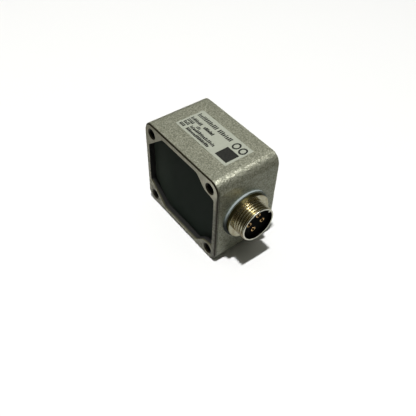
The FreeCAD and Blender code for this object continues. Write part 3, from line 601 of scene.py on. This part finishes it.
label_sheet = bmesh.new()
flat_prism(label_sheet, [
    (LABEL_LEFT + LABEL_CUT, LABEL_NEAR), (LABEL_RIGHT - LABEL_CUT, LABEL_NEAR),
    (LABEL_RIGHT, LABEL_NEAR + LABEL_CUT), (LABEL_RIGHT, LABEL_FAR - LABEL_CUT),
    (LABEL_RIGHT - LABEL_CUT, LABEL_FAR), (LABEL_LEFT + LABEL_CUT, LABEL_FAR),
    (LABEL_LEFT, LABEL_FAR - LABEL_CUT), (LABEL_LEFT, LABEL_NEAR + LABEL_CUT)], TOP_Z, FILM_TOP)
add_piece("label_sheet", label_sheet, film, ["label"])

# Screen-printed black ink: matt, thin and slightly uneven.
ink = speckled("screen_printed_ink", "#060605", "#2a2b26", 0.5, 0.7, specular=0.2)
printed = bmesh.new()
draw = random.Random(7)


def stroke(left, right, near, far):
    outline = [(left, near), (right, near), (right, far), (left, far)]
    flat_prism(printed, outline, PRINT_FOOT, PRINT_TOP)


# Left, right, near and far edge of each run of strokes, and the width of a stroke and of a gap.
STROKE_RUNS = [
    (-11.5, -1.4, 3.2, 4.95, 0.5, 0.3), (-0.7, 5.9, 3.2, 4.95, 0.5, 0.3),
    (-11.6, -6.2, 0.45, 1.8, 0.46, 0.2), (-4.8, 0.3, 0.45, 1.8, 0.62, 0.12),
    (-11.6, -8.0, -1.2, 0.1, 0.42, 0.22), (-6.5, -4.5, -1.2, 0.1, 0.42, 0.22),
    (-11.6, -8.9, -2.7, -1.4, 0.46, 0.18), (-7.9, 5.0, -2.7, -1.4, 0.46, 0.18),
    (-11.7, -8.9, -4.3, -3.05, 0.46, 0.17), (-8.0, 4.0, -4.3, -3.05, 0.52, 0.14),
]
for left, right, near, far, width, gap in STROKE_RUNS:
    x = left
    while x + width < right:
        wide = width * draw.uniform(0.75, 1.3)
        trim = draw.choice((0.0, 0.0, 0.25)) * (far - near)
        stroke(x, x + wide, near, far - trim)
        x += wide + gap * draw.uniform(0.8, 1.2)

# The plain block, and the two rings beside it, which are a quarter taller than they are wide.
stroke(7.35, 13.0, -4.0, 1.35)
RING_OUT, RING_IN = 1.4, 0.85
RING_Y, RING_STRETCH = 3.75, 1.25
for ring_x in (8.8, 11.95):
    rings = []
    for radius, z in ((RING_OUT, PRINT_FOOT), (RING_OUT, PRINT_TOP),
                      (RING_IN, PRINT_TOP), (RING_IN, PRINT_FOOT)):
        turns = [math.radians(10 * step) for step in range(36)]
        rings.append([Vector((ring_x + radius * math.cos(turn),
                              RING_Y + RING_STRETCH * radius * math.sin(turn), z))
                      for turn in turns])
    join_rings(printed, rings)
add_piece("label_print", printed, ink)


# The picture: a plain pale floor, a lamp overhead with the soft light of a room round it, and a
# camera at the photograph's angle. None of it belongs to the object.

# In metres.
FLOOR_HALF_WIDTH = 2.0
TABLE_DROP = 0.00005
BACKDROP_RADIUS, BACKDROP_HEIGHT, BACKDROP_SIDES = 0.6, 1.0, 72
# In millimetres: the middle of the painted pool of light on the table, and where it fades and
# ends.
POOL_MIDDLE = (13.0, 9.0, 0.0)
POOL_PALE, POOL_END = 54.0, 98.0


def add_scenery(name, mesh, paint):
    data = bpy.data.meshes.new(name)
    mesh.to_mesh(data)
    mesh.free()
    data.materials.append(paint)
    scenery = bpy.data.objects.new(name, data)
    bpy.context.scene.collection.objects.link(scenery)
    return scenery


def flat_square(z):
    mesh = bmesh.new()
    for side_x, side_y in ((-1, -1), (1, -1), (1, 1), (-1, 1)):
        mesh.verts.new((FLOOR_HALF_WIDTH * side_x, FLOOR_HALF_WIDTH * side_y, z))
    mesh.faces.new(mesh.verts)
    return mesh


# The picture shows a white floor, and views from the side a pale round wall behind it. The object
# is lit by a table just under the floor, painted pale near the object and dark further off as a
# pool of light.
white_paint = new_finish("white_floor_paint")
shader = add_node(white_paint, "BsdfPrincipled", {
    "Base Color": linear("#ebebeb"), "Roughness": 0.9})
add_node(white_paint, "OutputMaterial", {"Surface": shader.outputs[0]})
floor = add_scenery("floor", flat_square(0.0), white_paint)

wall_paint = new_finish("lit_backdrop_paint")
shader = add_node(wall_paint, "BsdfPrincipled", {
    "Base Color": linear("#000000"), "Roughness": 1.0,
    "Emission Color": linear("#e6e6e3"), "Emission Strength": 1.0})
add_node(wall_paint, "OutputMaterial", {"Surface": shader.outputs[0]})
wall = bmesh.new()
turns = [2 * math.pi * side / BACKDROP_SIDES for side in range(BACKDROP_SIDES)]
foot, top = ([wall.verts.new((
    BACKDROP_RADIUS * math.cos(turn), BACKDROP_RADIUS * math.sin(turn), z)) for turn in turns]
    for z in (0.0, BACKDROP_HEIGHT))
for index in range(BACKDROP_SIDES):
    wall.faces.new((foot[index], foot[index - 1], top[index - 1], top[index]))
backdrop = add_scenery("backdrop", wall, wall_paint)
for seen_only in (floor, backdrop):
    seen_only.visible_diffuse = False
    seen_only.visible_glossy = False
    seen_only.visible_shadow = False

table_pool_paint = new_finish("table_pool_paint")
away = add_node(table_pool_paint, "VectorMath", {
    0: millimetres(table_pool_paint), 1: POOL_MIDDLE}, operation="DISTANCE").outputs["Value"]
# Painted light: a pool, pale near the object and dark further off.
painted_pool = stained(table_pool_paint, linear("#adafad"), linear("#4b463a"), 1.0,
                (away, POOL_PALE, POOL_END))
shader = add_node(table_pool_paint, "BsdfPrincipled", {"Base Color": painted_pool, "Roughness": 0.9})
add_node(table_pool_paint, "OutputMaterial", {"Surface": shader.outputs[0]})
table = add_scenery("table", flat_square(-TABLE_DROP), table_pool_paint)
table.visible_camera = False


def add_lamp(name, place, size, power):
    """A round lamp that shines on the middle of the object; metres across, and watts."""
    light = bpy.data.lights.new(name, "AREA")
    light.shape = "DISK"
    light.size = size
    light.energy = power
    lamp = bpy.data.objects.new(name, light)
    lamp.location = place
    towards = Vector((0.0, 0.0, MIDDLE_Z * MM)) - Vector(place)
    lamp.rotation_euler = towards.to_track_quat("-Z", "Y").to_euler()
    bpy.context.scene.collection.objects.link(lamp)
    return lamp


add_lamp("overhead_lamp", (0.05, -0.1, 1.22), 0.06, 15.8)
# A faint panel behind on the right, seen only as a gleam on the rounded edges.
panel = add_lamp("gleam_panel", (0.145, 0.1, 0.62), 0.32, 2.1)
panel.visible_diffuse = False

# The room: dark olive-grey walls, and a ceiling that is paler on the side away from the camera.
world = bpy.data.worlds.new("room")
world.use_nodes = True
direction = add_node(world, "TexCoord").outputs["Generated"]
ceiling = add_node(world, "VectorMath", {
    0: direction, 1: (-0.45, 0.1, 0.8)}, operation="DOT_PRODUCT").outputs["Value"]
room = stained(world, linear("#474740"), linear("#a1a299"), 1.0, (ceiling, 0.3, 1.0))
background = world.node_tree.nodes["Background"]
world.node_tree.links.new(room, background.inputs["Color"])
background.inputs["Strength"].default_value = 1.0
bpy.context.scene.world = world
bpy.context.scene.view_settings.view_transform = "Standard"

# The camera's place in metres, and where its right, its top and its back point.
CAMERA_PLACE = (0.103787, -0.083477, 0.144831)
CAMERA_RIGHT = (0.6052, 0.79566, 0.0257)
CAMERA_UP = (-0.59283, 0.42891, 0.68161)
CAMERA_BACK = (0.53131, -0.42774, 0.73126)
lens = bpy.data.cameras.new("camera")
lens.sensor_fit = "HORIZONTAL"
lens.sensor_width = 36.0
lens.lens = 45.52
lens.clip_start = 0.01
lens.clip_end = 10.0
camera = bpy.data.objects.new("camera", lens)
turned = Matrix((CAMERA_RIGHT, CAMERA_UP, CAMERA_BACK)).transposed().to_4x4()
camera.matrix_world = Matrix.Translation(CAMERA_PLACE) @ turned
bpy.context.scene.collection.objects.link(camera)
bpy.context.scene.camera = camera
